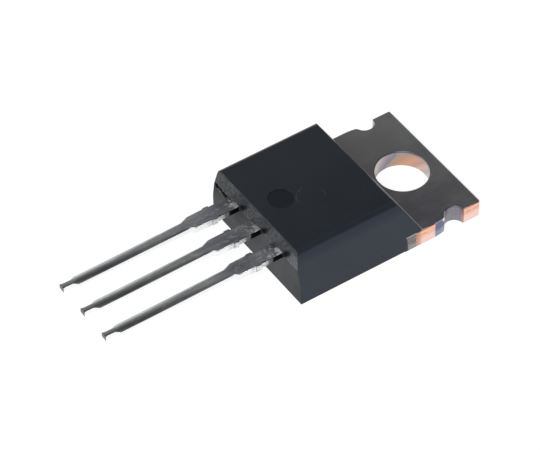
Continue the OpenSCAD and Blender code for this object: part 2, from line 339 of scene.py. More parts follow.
def moulding_finish():
    """Black epoxy: a matte top, smoother sides, a polished ejector mark, pale filler specks."""
    f = Finish("epoxy_black")
    x, y, z = f.xyz()
    nx, ny, nz = f.normal()
    on_top = nz.step(0.94, 0.995) * z.above(BODY_T - 0.3)
    front = (0.0 - ny).step(0.80, 0.92)
    side = abs(nx).step(0.55, 0.80)
    cloud = f.noise(2.6, 2.0, 0.5, seed=3.0)
    fine = f.noise(0.16, 4.0, 0.65, seed=1.0)
    grit = f.noise(0.055, 2.0, 0.6, seed=7.0)
    speck = f.specks(0.42, 2.0).step(0.10, 0.05)
    speck = speck * f.noise(0.9, 1.0, 0.5, seed=5.0).step(0.55, 0.64)
    # on the top: a faint curved scratch beside the ejector mark, and faintly rubbed patches
    arc_x = x - SCRATCH_X
    arc_y = y - SCRATCH_Y
    ring = abs(arc_x.reach(arc_y) - SCRATCH_R)
    swing = arc_y.angle_to(arc_x)
    sweep = abs(swing - SCRATCH_LONG).step(0.95, 0.55)
    sweep = sweep.larger(abs(swing - SCRATCH_SHORT).step(0.55, 0.25) * 0.7)
    scratch = ring.step(0.06, 0.01) * sweep * fine.step(0.42, 0.54) * on_top
    rub = f.noise(1.5, 4.0, 0.72, seed=12.0).step(0.56, 0.72) * fine.step(0.44, 0.62) * on_top
    # the ejector mark: polished floor, thin rim
    pin_r = x.reach(y - PIN_MARK_Y)
    pin = pin_r.step(PIN_MARK_R + 0.03, PIN_MARK_R - 0.06) * z.above(BODY_T - 0.3)
    rim = abs(pin_r - PIN_MARK_R).step(0.09, 0.0) * on_top * fine.step(0.42, 0.60)
    # on the front: resin flash at the parting line with painted crevice shade, a painted glint, a
    # paler near corner, grey dust above the line
    wavy = z - PART_Z + (fine - 0.5) * 0.9
    flash_and_shade = abs(wavy).step(0.19, 0.10) * x.band(*FLASH_SHADE_X, 0.12) * front
    flash_glint = abs(wavy + 0.17).step(0.09, 0.04) * x.band(*GLINT_X, 0.08) * front
    flash_glint = flash_glint * grit.step(0.45, 0.55)
    corner = z.band(PART_Z + 0.05, PART_Z + 1.00, 0.12)
    corner = corner * (x - (z - PART_Z) * PALE_PATCH_SLANT).band(*PALE_PATCH_X, 0.25) * front
    upper = z.step(PART_Z - 0.02, PART_Z + 0.10) * front
    dust = f.noise(0.22, 4.0, 0.75, seed=8.0).step(0.47, 0.58) * upper

    def shade_streak_past(centre):
        """Painted shade: a dark streak that runs up and away from the root of the lead at centre.
        """
        from_x = x - (centre + ROOT_HALF)
        from_z = z - (LEAD_TOP - 0.14)
        along = from_x * STREAK_ACROSS + from_z * STREAK_UP
        aslant = abs(from_z * STREAK_ACROSS - from_x * STREAK_UP + (fine - 0.5) * 0.3)
        return along.band(0.10, 1.00, 0.35) * (aslant + along * 0.10).step(0.40, 0.14)

    # painted shade: dark streaks past the roots stand for the leads' shadows and reflections on the
    # front
    root_streak = shade_streak_past(-PITCH).larger(shade_streak_past(0.0)).larger(shade_streak_past(PITCH)) * front
    # a painted highlight: the pale line where the moulding's rear meets the tab
    lip = ny.step(0.5, 0.7) * z.above(TAB_T - 0.02) * z.step(TAB_T + 0.30, TAB_T + 0.16)
    lip = lip * (x.step(-2.0, 2.5) * 0.65 + 0.35)
    # painted light: the rounded top edges are painted paler than the top
    round_edge = abs(nx).band(0.15, 0.80, 0.10) * z.above(BODY_T - 0.6)
    colour = f.coats(
        # painted light: the base is paler towards the far side and darker towards the near side
        f.mix(x.step(5.0, -5.0), (18, 25, 33), (27, 32, 38)),
        ((cloud - 0.42) * 0.8, (34, 38, 44)),
        # painted light: the sides are painted paler and bluer than the top
        (side, f.mix(cloud, (35, 41, 53), (42, 49, 61))),
        (ny.step(0.3, 0.6), (34, 39, 45)),
        (round_edge, (37, 43, 50)),
        (lip, (168, 170, 174)),
        (front, f.mix(cloud, (25, 30, 34), (32, 36, 39))),
        # painted reflection: the strip above the parting line is painted paler
        (upper * 0.50, (60, 62, 65)),
        (dust * 0.40, (96, 98, 101)),
        (rub * 0.20, (62, 64, 62)),
        (scratch * 0.40, (88, 88, 80)),
        (pin * 0.6, (20, 23, 28)),
        (rim * 0.35, (56, 58, 64)),
        (corner * 0.5, (78, 84, 88)),
        # painted shade streaks past the roots
        (root_streak * 0.85, (12, 14, 17)),
        # resin flash painted black as the shade in its crevice, and a painted glint beside it
        (flash_and_shade, (6, 7, 8)),
        (flash_glint * 0.8, (150, 152, 156)),
        (speck * 0.35, (112, 114, 120)))
    rough = (0.30 + (fine - 0.5) * 0.16 + on_top * 0.26 - pin * 0.22 - front * 0.15
             + dust * 0.05 + corner * 0.12)
    height = fine * (0.25 + on_top * 0.5 - front * 0.12) + grit * 0.25 - scratch * 0.6 - flash_and_shade * 1.5
    # the front, the foot of the sides and their top edge mirror less than the rest
    foot = z.step(SIDE_Z + 0.03, SIDE_Z - 0.03)
    dull = front * (0.44 - corner * 0.3 + (cloud - 0.5) * 0.8) + side * foot * 0.30
    dull = dull + side * (1.0 - front) * z.step(3.10, 4.10) * 0.36 + pin * 0.3
    return f.close({"Base Color": colour, "Roughness": rough.clamped(), "IOR": 1.5,
                    "Specular IOR Level": 0.28, "Normal": f.bump(height, 0.22, 0.008)},
                   dull.larger(flash_and_shade).larger(root_streak * 0.85).clamped())


def tin_grain(f, seed):
    """The noises of dull tin plate: clouds, streaks along the piece, and grit."""
    mottle = f.noise(1.3, 4.0, 0.6, (1.0, 0.55, 1.0), seed=seed + 2.0)
    streaks = f.noise(0.20, 3.0, 0.6, (1.0, 0.10, 1.0), seed=seed + 4.0)
    grit = f.noise(0.07, 3.0, 0.65, seed=seed + 6.0)
    return mottle, streaks, grit


def lead_tin(f, x, y, nx, nz, centre, seed, dusty):
    """The finish of a lead outside the moulding: its colour, roughness and relief."""
    mottle, streaks, grit = tin_grain(f, seed)
    across = x - centre
    wall = abs(nx).step(0.60, 0.90)
    bright = wall.larger((0.0 - nz).step(0.5, 0.8))
    outside = y.step(CUT_Y, FRONT_Y + 0.05)
    blot = f.noise(0.32, 4.0, 0.65, (1.0, 0.45, 1.0), seed=seed + 9.0).step(0.54, 0.62)
    # pale resin dust next to the moulding, thicker towards the near side
    dust = f.noise(0.15, 2.0, 0.60, seed=seed + 8.0)
    dust = dust.step(0.60 - 0.07 * dusty, 0.63 - 0.07 * dusty)
    dust = dust * (y.step(FRONT_Y - 2.6 * dusty, FRONT_Y - 0.1) * outside)
    dust = dust * across.step(-0.75, 0.05) * (1.0 - wall)
    root_streak = y.band(FRONT_Y - 0.30, FRONT_Y + 0.10, 0.10) * across.step(-0.10, 0.15)
    root_streak = root_streak * grit.step(0.40, 0.52) * (1.0 - wall)
    dust = dust.larger(root_streak * 0.8)
    # painted light and shade: towards the tip the far side of the top is painted paler and the near
    # side darker
    painted_far_light = across.step(0.12, -0.22) * y.step(-18.0, -23.0)
    painted_near_shade = across.step(-0.10, 0.34) * y.step(-16.5, -23.5)
    # the side walls: crushed by the tie bar's shear, and painted black next to the moulding as
    # shade
    crushed = y.band(*CRUSHED_Y, 0.15) * wall
    crushed = crushed * f.noise(0.12, 3.0, 0.7, seed=seed + 5.0).step(0.42, 0.58)
    dark_near_moulding = (y + (grit - 0.5) * 0.5).step(*DARK_WALL_END_Y) * wall * outside
    end = y.step(TIP_Y + 0.05, TIP_Y + 0.01)
    colour = f.coats(
        f.mix(mottle.step(0.30, 0.70), (118, 120, 127), (152, 154, 160)),
        (y.step(-15.0, -18.0) * 0.55, (186, 188, 188)),
        (streaks.step(0.48, 0.72) * 0.45, (196, 198, 202)),
        (blot * 0.40, (214, 216, 220)),
        (dust * 0.85, (234, 236, 234)),
        # painted light and shade across the top towards the tip
        (painted_far_light * 0.25, (226, 228, 226)),
        (painted_near_shade * 0.70, (88, 89, 92)),
        (bright, (243, 243, 243)),
        (crushed * 0.38, (150, 150, 146)),
        # painted shade on the walls next to the moulding
        (dark_near_moulding, (14, 15, 17)),
        (end * 0.8, (116, 108, 100)))
    rough = (0.36 + (mottle - 0.5) * 0.20 + dust * 0.30 - bright * 0.26 + crushed * 0.35
             + dark_near_moulding * 0.3 + end * 0.2)
    height = (mottle * 0.8 + grit * 0.4 + streaks * 0.4 + dust + crushed * 1.2
              - bright * grit * 0.35)
    return colour, rough, height


def lead_finish(name, centre, seed, dusty):
    """Dull tin on a stamped lead: bright sheared walls, pale resin dust next to the moulding."""
    f = Finish(name)
    x, y, _ = f.xyz()
    nx, _, nz = f.normal()
    colour, rough, height = lead_tin(f, x, y, nx, nz, centre, seed, dusty)
    return f.close({"Base Color": colour, "Metallic": 0.92, "Roughness": rough.clamped(),
                    "IOR": 1.5, "Normal": f.bump(height, 0.30, 0.015)})


def hole_tints(f, x, y, z, shear):
    """Where the hole's wall is, and its colours: heat tints by the angle, stains on the copper."""
    far = math.radians(HOLE_FAR_DEG)
    deep = x * math.cos(far) + y * math.sin(far)
    aside = x * math.sin(far) - y * math.cos(far)
    turn = aside.angle_to(deep) / math.pi + 0.5
    in_hole = x.reach(y).step(HOLE_R + 0.15, HOLE_R + 0.07)
    # from left to right over the far side, slanted a little and with ragged joins
    tint = f.ramp((turn - (z - 0.62) * 0.16 + (shear - 0.5) * 0.06).clamped(), [
        (0.00, (206, 200, 196)), (0.13, (192, 187, 182)), (0.215, (172, 162, 163)),
        (0.30, (150, 143, 156)), (0.36, (134, 132, 144)), (0.42, (174, 156, 138)),
        (0.50, (188, 150, 128)), (0.64, (212, 160, 134)), (0.72, (192, 152, 140)),
        (0.80, (214, 182, 170)), (0.88, (178, 172, 170)), (1.00, (206, 200, 196))])
    band = z.step(0.90, 1.15) * turn.band(0.40, 0.92, 0.06)
    stain = f.specks(0.24, 4.0).step(0.28, 0.15) * turn.band(0.42, 0.80, 0.04)
    low_left = z.step(0.75, 0.30) * turn.step(0.17, 0.10)
    rim = z.step(TAB_T - 0.20, TAB_T - 0.08) * turn.band(0.30, 0.72, 0.05)
    return in_hole, f.coats(
        tint,
        (band * 0.75, (170, 160, 166)),
        (stain * 0.6, (120, 74, 60)),
        (low_left * 0.6, (112, 108, 106)),
        (rim * 0.6, (92, 84, 100)))


def header_finish():
    """Dull tin on the faces, bare copper on the sheared sides, heat tints in notches and hole."""
    f = Finish("header_tin_and_copper")
    x, y, z = f.xyz()
    nx, ny, nz = f.normal()
    mottle, _, grit = tin_grain(f, 0.5)
    upright = abs(nz).step(0.60, 0.35)
    on_tab = y.above(SIDE_Y - 0.6)
    near_wall = x.above(SIDE_X)
    # the plated faces: painted light, darker towards the source lead's side, and painted highlights
    # at two edges
    painted_light_drift = (x * 0.5 - y * 0.35).step(-4.0, 4.5)
    painted_edge_light = y.band(FOOT_Y - 0.10, FOOT_Y + 0.05, 0.02) * (x.step(-3.0, 2.0) * 0.85 + 0.15)
    tab_end = y.step(END_Y - 0.12, END_Y - 0.05)
    painted_edge_light = painted_edge_light.larger(tab_end * 0.6) * z.above(TAB_T / 2)
    tin = f.coats(
        f.mix(painted_light_drift, (129, 130, 129), (98, 96, 104)),
        (mottle.step(0.35, 0.70) * 0.30, (152, 153, 153)),
        (grit.step(0.60, 0.76) * 0.25, (170, 170, 170)),
        # painted highlights along two edges
        (painted_edge_light * 0.85, (208, 210, 212)))
    # sheared sides: a burnished copper band over a paler torn one, with a dark line between them
    shear = f.noise(0.20, 3.0, 0.6, (1.0, 1.0, 0.12), seed=11.0)
    run = f.noise(0.16, 3.0, 0.6, (0.3, 0.3, 2.2), seed=13.0)
    split_z = SHEAR_Z + (run - 0.5) * 0.5
    seam = abs(z - split_z - 0.22).step(0.08, 0.0) * run.step(0.46, 0.56)
    darker = (y + (shear - 0.5) * 0.3).step(*DARKER_Y)
    # heat tints: the lip beside the notch, blue below, and the notch's wall with a copper rim
    lip = (y - (LIP_END_Y + (grit - 0.5) * 0.2)).step(-0.05, 0.05) * y.step(-0.10, -0.16)
    lip_tint = f.mix(z.step(0.75, 0.35), f.mix(run, (76, 88, 128), (108, 117, 152)),
                     f.mix(y.step(-0.66, -0.46), (128, 146, 182), (158, 156, 158)))
    notch_end = NOTCH_Y + NOTCH_R - 0.02
    notch = y.band(NOTCH_START_Y, notch_end, 0.02)
    pale_notch = y.band(NOTCH_START_Y, 1.6, 0.02) * x.step(-4.0, -4.2)
    rim = y.band(notch_end, notch_end + 0.08, 0.03)
    # a painted highlight: a white glint on the near notch's wall beside the lip
    glint = (z - 1.02 + (y + 0.10) * 0.30).step(-0.05, 0.05) * y.band(-0.36, 0.17, 0.05) * near_wall
    # the raw stretch beside the moulding, dark with resin at the joint, and the tab's end face
    raw = (y + (grit - 0.5) * 0.20).step(*RAW_Y)
    dark_near_moulding = (y - SIDE_Y + (z - TAB_T) * 0.13).step(0.10, 0.0)
    end_face = ny.step(0.7, 0.9) * y.above(END_Y - 0.2)
    in_hole, tint = hole_tints(f, x, y, z, shear)
    sides = f.coats(
        f.mix(shear, (234, 170, 142), (252, 208, 186)),
        ((z - split_z).step(0.10, -0.10), f.mix(grit, (243, 198, 184), (253, 224, 216))),
        (seam * 0.6, (150, 92, 76)),
        (darker * 0.7, (176, 124, 108)),
        (lip * 0.95, lip_tint),
        (notch * 0.95, f.mix(shear, (112, 115, 128), (142, 142, 154))),
        (pale_notch, (206, 206, 202)),
        (rim * 0.8, (140, 92, 96)),
        (raw, f.mix(grit.step(0.35, 0.65), (92, 87, 89), (156, 150, 150))),
        (raw * z.step(0.7, 0.3) * 0.5, (188, 180, 178)),
        (dark_near_moulding * 0.9, (52, 50, 56)),
        (end_face * 0.8, (186, 170, 160)),
        # the painted glint
        (glint, (252, 250, 250)),
        (in_hole, tint))
    # the bevelled upper edge, with painted highlights beside the notch, towards the moulding and at
    # the tab's end
    edge = z.step(TAB_T - 0.12, TAB_T - 0.03) * abs(nz).step(0.995, 0.97) * on_tab
    painted_edge_glint = (y.band(-1.05, -0.10, 0.05) * near_wall).larger(y.step(-2.50, -2.60))
    edge_tint = f.coats(
        f.mix(in_hole.larger(notch), (92, 68, 66), (88, 86, 102)),
        (tab_end, (226, 222, 218)),
        (painted_edge_glint, (214, 212, 214)))
    sides = f.mix(edge * 0.8 * (1.0 - glint), sides, edge_tint)
    bare = upright.larger(edge) * on_tab
    # the centre lead
    bar, bar_rough, bar_height = lead_tin(f, x, y, nx, nz, 0.0, 3.0, 0.60)
    on_bar = y.step(FRONT_Y + 1.6, FRONT_Y + 1.5)
    colour = f.mix(on_bar, f.mix(bare, tin, sides), bar)
    rough = (0.44 + (mottle - 0.5) * 0.16 - bare * 0.10 + shear * bare * 0.10
             + raw * bare * 0.12 + edge * 0.1)
    rough = rough + (bar_rough - rough) * on_bar
    height = mottle * 0.3 + grit * 0.35 + shear * bare * 0.5 + raw * bare * grit * 2.0
    height = height + (bar_height - height) * on_bar
    return f.close({"Base Color": colour, "Metallic": 0.92, "Roughness": rough.clamped(),
                    "IOR": 1.5, "Normal": f.bump(height, 0.28, 0.013)})


def wire_finish():
    """Bright drawn aluminium, a little scored along its length."""
    f = Finish("bond_aluminium")
    scores = f.noise(0.05, 3.0, 0.6, (1.0, 0.3, 0.3), seed=1.0)
    colour = f.mix(scores, (205, 206, 208), (230, 231, 233))
    return f.close({"Base Color": colour, "Metallic": 1.0,
                    "Roughness": (0.28 + scores * 0.2).clamped(),
                    "Normal": f.bump(scores, 0.25, 0.004)})


def die_finish():
    """Aluminium top metal with the gate pad's dark border, on grey silicon."""
    f = Finish("silicon_chip")
    x, y, _ = f.xyz()
    nz = f.normal()[2]
    cells = f.noise(0.05, 2.0, 0.5, seed=2.0)
    middle_y = DIE_NEAR_Y + DIE_L / 2
    inner_x = DIE_W / 2 - STREET
    inner_y = DIE_L / 2 - STREET
    edge = abs(x).step(inner_x, inner_x + 0.05).larger(
        abs(y - middle_y).step(inner_y, inner_y + 0.05))
    pad_x = x + GATE_PAD_SHARE * DIE_W
    pad_y = y - (DIE_NEAR_Y + GATE_PAD_IN)
    ring = abs(pad_x).larger(abs(pad_y)).band(*GATE_PAD_FRAME, 0.02)
    metal = f.mix(cells, (186, 188, 192), (214, 216, 220))
    colour = f.mix(edge.larger(ring), metal, (52, 60, 84))
    colour = f.mix(nz.step(0.5, 0.8), (84, 86, 96), colour)
    return f.close({"Base Color": colour, "Metallic": (1.0 - edge * 0.6).clamped(),
                    "Roughness": (0.22 + cells * 0.25).clamped(),
                    "Normal": f.bump(cells, 0.2, 0.004)})


def solder_finish():
    """Soft grey solder with a frosty, slightly wavy skin."""
    f = Finish("soft_solder")
    frost = f.noise(0.12, 4.0, 0.65, seed=3.0)
    colour = f.mix(frost, (142, 144, 150), (176, 178, 184))
    return f.close({"Base Color": colour, "Metallic": 0.95,
                    "Roughness": (0.32 + frost * 0.3).clamped(),
                    "Normal": f.bump(frost, 0.3, 0.01)})


def merged_copy(node_name):
    """A copy of a CAD node's mesh, with its loose triangles joined into flat faces."""
    bm = bmesh.new()
    bm.from_mesh(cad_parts[node_name].data)
    bmesh.ops.remove_doubles(bm, verts=bm.verts, dist=2e-6)
    bmesh.ops.dissolve_degenerate(bm, edges=bm.edges, dist=1e-6)
    bmesh.ops.dissolve_limit(bm, angle_limit=math.radians(0.4), verts=bm.verts, edges=bm.edges)
    return bm


def cut_through(bm, point, direction, clear=False):
    """Cuts all faces by a plane through a point in millimetres, and clears what lies beyond it."""
    return bmesh.ops.bisect_plane(bm, geom=bm.verts[:] + bm.edges[:] + bm.faces[:], dist=1e-7,
                                  plane_co=Vector(point) * MM, plane_no=direction,
                                  clear_outer=clear)


def mark_edges(bm, wanted):
    """Gives a bevel weight to each sharp edge whose middle and ends, in millimetres, are wanted."""
    layers = bm.edges.layers.float
    layer = layers.get("bevel_weight_edge") or layers.new("bevel_weight_edge")
    for edge in bm.edges:
        if len(edge.link_faces) == 2 and math.degrees(edge.calc_face_angle(0.0)) >= BEVEL_DEG:
            a, b = (v.co / MM for v in edge.verts)
            if wanted((a + b) / 2, a, b):
                edge[layer] = 1.0


def plain_mesh(holder, name):
    """Replaces an object's mesh by the one that its modifiers make, and removes them."""
    graph = bpy.context.evaluated_depsgraph_get()
    done = bpy.data.meshes.new_from_object(holder.evaluated_get(graph),
                                           preserve_all_data_layers=True, depsgraph=graph)
    holder.modifiers.clear()
    holder.data = done
    done.name = name
    return done


def make_piece(bm, name, material, bevel_width, true_rounds=()):
    """A piece from bm: marked edges rounded, flat faces flat, coarse roundings shaded as true."""
    for face in bm.faces:
        face.smooth = True
    mesh = bpy.data.meshes.new(name)
    bm.to_mesh(mesh)
    bm.free()
    mesh.materials.append(material)
    mesh.set_sharp_from_angle(angle=math.radians(CREASE_DEG))
    piece = bpy.data.objects.new(name, mesh)
    bpy.context.scene.collection.objects.link(piece)
    bevel = piece.modifiers.new("edges", "BEVEL")
    bevel.width = bevel_width * MM
    bevel.segments = 2
    bevel.limit_method = "WEIGHT"
    bevel.use_clamp_overlap = False
    bevel.miter_outer = "MITER_ARC"
    flats = piece.modifiers.new("flats", "WEIGHTED_NORMAL")
    flats.keep_sharp = True
    shade_rounds(plain_mesh(piece, name), true_rounds)
    return piece


def shade_rounds(mesh, rounds):
    """Shades faces that are square to an axis flat, and gives the roundings their true normals.

    A round is its axis, its centre across that axis, its radius, and 1 outside or -1 inside.
    """
    normals = [c.vector.copy() for c in mesh.corner_normals]
    for polygon in mesh.polygons:
        if max(abs(part) for part in polygon.normal) > 0.9998:
            for loop in polygon.loop_indices:
                normals[loop] = polygon.normal.copy()
            continue
        points = [mesh.vertices[v].co / MM for v in polygon.vertices]
        for axis, centre, radius, way in rounds:
            i, j = [k for k in range(3) if k != axis]
            if abs(polygon.normal[axis]) > 0.3:
                continue
            away = [(p[i] - centre[0], p[j] - centre[1]) for p in points]
            if any(abs(math.hypot(*d) - radius) > 0.02 for d in away):
                continue
            mean = (sum(d[0] for d in away), sum(d[1] for d in away))
            if (mean[0] * polygon.normal[i] + mean[1] * polygon.normal[j]) * way <= 0:
                continue
            for loop, d in zip(polygon.loop_indices, away):
                true = Vector((0.0, 0.0, 0.0))
                true[i], true[j] = d[0] * way, d[1] * way
                normals[loop] = true.normalized()
    mesh.normals_split_custom_set([tuple(n) for n in normals])


def settle(piece, node):
    """Hides the CAD node that a piece stands in for, and hangs the piece under the root."""
    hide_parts(node)
    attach(piece, "root")


def ease_foot(bm):
    """Takes the sharpness off the moulding's long lower edges."""
    cut_through(bm, (0, 0, EASE_UP), (0, 0, 1))
    for vert in bm.verts:
        x, y, z = vert.co / MM
        if z < 0.001 and abs(x) > TAB_HALF - 0.05 and y < SIDE_Y + 0.001:
            vert.co.x -= math.copysign(EASE_IN * MM, x)


def make_body(material):
    """The moulding, with crisp but not knife-sharp outer edges."""
    lean = math.atan2(SIDE_LEAN, BODY_T - TOP_EDGE_R - SIDE_Z)
    round_z = BODY_T - TOP_EDGE_R
    round_x = TAB_HALF - (round_z - SIDE_Z) * math.tan(lean) - TOP_EDGE_R / math.cos(lean)
    front_top = FRONT_Y + FRONT_TOP_IN

    def outer(m, a, b):
        """True for the top's front and rear edges, the roundings' ends and the front's foot."""
        if (b - a).length < 0.05 or m.z < TAB_T + 0.05 and m.y > FRONT_Y + 0.3:
            return False
        on_top = m.z > BODY_T - 0.02
        top_front = on_top and abs(m.y - front_top) < 0.05
        top_rear = on_top and abs(m.y - TOP_Y) < 0.02
        front_low = m.z < 0.02 and m.y < FRONT_Y + 0.2
        at_ends = m.y < front_top + 0.1 or m.y > TOP_Y - 0.02
        arc = abs(m.x) > round_x - 0.01 and m.z > round_z - 0.01 and at_ends
        return top_front or top_rear or front_low or arc

    bm = merged_copy("mould_body")
    ease_foot(bm)
    mark_edges(bm, outer)
    corner_x = TAB_HALF - BODY_CORNER_R
    corner_y = FRONT_Y + BODY_CORNER_R
    rounds = [(1, (s * round_x, round_z), TOP_EDGE_R, 1) for s in (-1, 1)]
    rounds += [(2, (s * corner_x, corner_y), BODY_CORNER_R, 1) for s in (-1, 1)]
    return make_piece(bm, "moulded_body", material, BODY_EDGE, rounds)


def bar_stations():
    """Places along a lead outside the moulding.

    Each is y, far and near half widths, a corner's width and height, and the lift of the underside.
    """
    neck_y = TIP_Y + 1.02
    slope_far = SHOULDER_Y - TAPER_FAR
    slope_near = SHOULDER_Y - TAPER_NEAR
    part_way = SHOULDER_HALF - (SHOULDER_HALF - LEAD_HALF) * TAPER_NEAR / TAPER_FAR
    return [
        (CUT_Y, ROOT_HALF, ROOT_HALF, 0.05, 0.05, 0.0),
        (FRONT_Y - 0.60, ROOT_HALF, ROOT_HALF, 0.05, 0.05, 0.0),
        (STUB_FAR_Y, ROOT_HALF, ROOT_HALF, 0.06, 0.06, 0.0),
        (STUB_FAR_Y - 0.02, STUB_HALF, STUB_HALF, 0.04, 0.04, 0.0),
        (STUB_NEAR_Y, STUB_HALF, STUB_HALF, 0.04, 0.04, 0.0),
        (STUB_NEAR_Y - 0.02, SHOULDER_HALF, SHOULDER_HALF, 0.06, 0.06, 0.0),
        (SHOULDER_Y, SHOULDER_HALF, SHOULDER_HALF, 0.10, 0.07, 0.0),
        (slope_near, part_way, LEAD_HALF, 0.12, 0.08, 0.0),
        (slope_far, LEAD_HALF, LEAD_HALF, 0.14, 0.09, 0.0),
        (-17.0, LEAD_HALF, LEAD_HALF, 0.18, 0.10, 0.0),
        (-18.5, LEAD_HALF, LEAD_HALF, 0.25, 0.12, 0.0),
        (-20.0, LEAD_HALF, LEAD_HALF, 0.32, 0.15, 0.0),
        (-22.0, LEAD_HALF, LEAD_HALF, 0.36, 0.18, 0.0),
        (neck_y + 0.10, LEAD_HALF, LEAD_HALF, 0.36, 0.20, 0.0),
        (neck_y - 0.26, NECK_HALF, NECK_HALF, 0.10, 0.10, 0.0),
        (TIP_Y + 0.20, NECK_HALF, NECK_HALF, 0.08, 0.08, 0.06),
        (TIP_Y + 0.05, FLARE_HALF, FLARE_HALF, 0.08, 0.08, 0.13),
        (TIP_Y, FLARE_HALF, FLARE_HALF, 0.07, 0.07, 0.13),
    ]


def add_bar(bm, centre):
    """Lofts the outer part of a lead as one closed shell, its top more domed towards the tip."""
    steps = 6
    rings = []
    for y, far, near, wide, high, lift in bar_stations():
        ring = []
        for side, up, start in ((1, 1, 0), (-1, 1, 90), (-1, -1, 180), (1, -1, 270)):
            cx = centre + side * ((near if side > 0 else far) - wide)
            cz = (LEAD_TOP - high) if up > 0 else (LEAD_Z + lift + high)
            for k in range(steps + 1):
                a = math.radians(start + 90 * k / steps)
                place = (cx + wide * math.cos(a), y, cz + high * math.sin(a))
                ring.append(bm.verts.new(Vector(place) * MM))
        rings.append(ring)
    count = len(rings[0])
    for one, two in zip(rings, rings[1:]):
        for k in range(count):
            bm.faces.new((one[k], one[(k + 1) % count], two[(k + 1) % count], two[k]))
    bm.faces.new(list(reversed(rings[0])))
    bm.faces.new(rings[-1])
    # the burr that the shear leaves at the tip's lower corner
    edge_x = centre + FLARE_HALF
    burr = [(edge_x - 0.01, TIP_Y + 0.012, LEAD_Z + 0.01), (edge_x, TIP_Y + 0.002, LEAD_Z + 0.30),
            (edge_x - 0.13, TIP_Y + 0.002, LEAD_Z + 0.20),
            (edge_x - 0.02, TIP_Y + 0.05, LEAD_Z + 0.24)]
    corners = [bm.verts.new(Vector(p) * MM) for p in burr]
    for trio in ((0, 1, 2), (0, 2, 3), (0, 3, 1), (1, 3, 2)):
        bm.faces.new([corners[k] for k in trio])


def keep_inside(bm):
    """Cuts a lead off a little inside the moulding and closes the cut."""
    cut = cut_through(bm, (0, CUT_Y, 0), (0, -1, 0), clear=True)
    rim = [e for e in cut["geom_cut"] if isinstance(e, bmesh.types.BMEdge)]
    bmesh.ops.contextual_create(bm, geom=rim)


def tab_edge(m, a, b):
    """True for the edges around the tab's two faces."""
    flat = abs((b - a).z) < 1e-3
    on_face = m.z < 0.01 or abs(m.z - TAB_T) < 0.01
    return flat and on_face and m.y > SIDE_Y + 0.05


def make_lead(node, name, material, centre, rounds=()):
    """A lead: its inner part as the CAD has it, its outer part lofted with rounder corners."""
    bm = merged_copy(node)
    keep_inside(bm)
    if node == "drain_header":
        mark_edges(bm, tab_edge)
    add_bar(bm, centre)
    bmesh.ops.recalc_face_normals(bm, faces=bm.faces)
    return make_piece(bm, name, material, METAL_EDGE, rounds)


def wire_tree():
    """Geometry nodes for a round wire through three points, with a flat foot at each end."""
    tree = bpy.data.node_groups.new("bonded_wire", "GeometryNodeTree")
    tree.interface.new_socket("Geometry", in_out="OUTPUT", socket_type="NodeSocketGeometry")
    for label, kind in (("On die", "Vector"), ("Loop top", "Vector"), ("On post", "Vector"),
                        ("Foot size", "Vector"), ("Foot shift", "Float"), ("Heading", "Float"),
                        ("Wire radius", "Float"), ("Finish", "Material")):
        tree.interface.new_socket(label, in_out="INPUT", socket_type="NodeSocket" + kind)
    g = Graph(tree)
    given = g.node("NodeGroupInput", {}, {})
    heading = given.twin("Heading")
    arc = g.node("GeometryNodeCurveArc", {"mode": "POINTS"},
                 {"Resolution": 40, "Start": given.twin("On die"), "Middle": given.twin("Loop top"),
                  "End": given.twin("On post")})
    ring = g.node("GeometryNodeCurvePrimitiveCircle", {},
                  {"Resolution": 20, "Radius": given.twin("Wire radius")})
    tube = g.node("GeometryNodeCurveToMesh", {},
                  {"Curve": arc, "Profile Curve": ring, "Fill Caps": True})
    block = g.node("GeometryNodeMeshCube", {}, {"Size": given.twin("Foot size")}, "Mesh")
    spin = g.node("ShaderNodeCombineXYZ", {}, {"Z": heading})
    parts = [tube]
    for label, way in (("On die", 1.0), ("On post", -1.0)):
        offset = g.node("ShaderNodeCombineXYZ", {}, {"X": given.twin("Foot shift") * way})
        turned = g.node("ShaderNodeVectorRotate", {"rotation_type": "Z_AXIS"},
                        {"Vector": offset, "Angle": heading})
        place = g.node("ShaderNodeVectorMath", {}, {0: given.twin(label), 1: turned})
        parts.append(g.node("GeometryNodeTransform", {},
                            {"Geometry": block, "Translation": place, "Rotation": spin}))
    joined = g.node("GeometryNodeJoinGeometry", {}, {0: parts})
    solid = g.node("GeometryNodeRealizeInstances", {}, {"Geometry": joined})
    dressed = g.node("GeometryNodeSetMaterial", {},
                     {"Geometry": solid, "Material": given.twin("Finish")})
    g.node("NodeGroupOutput", {}, {0: dressed})
    return tree


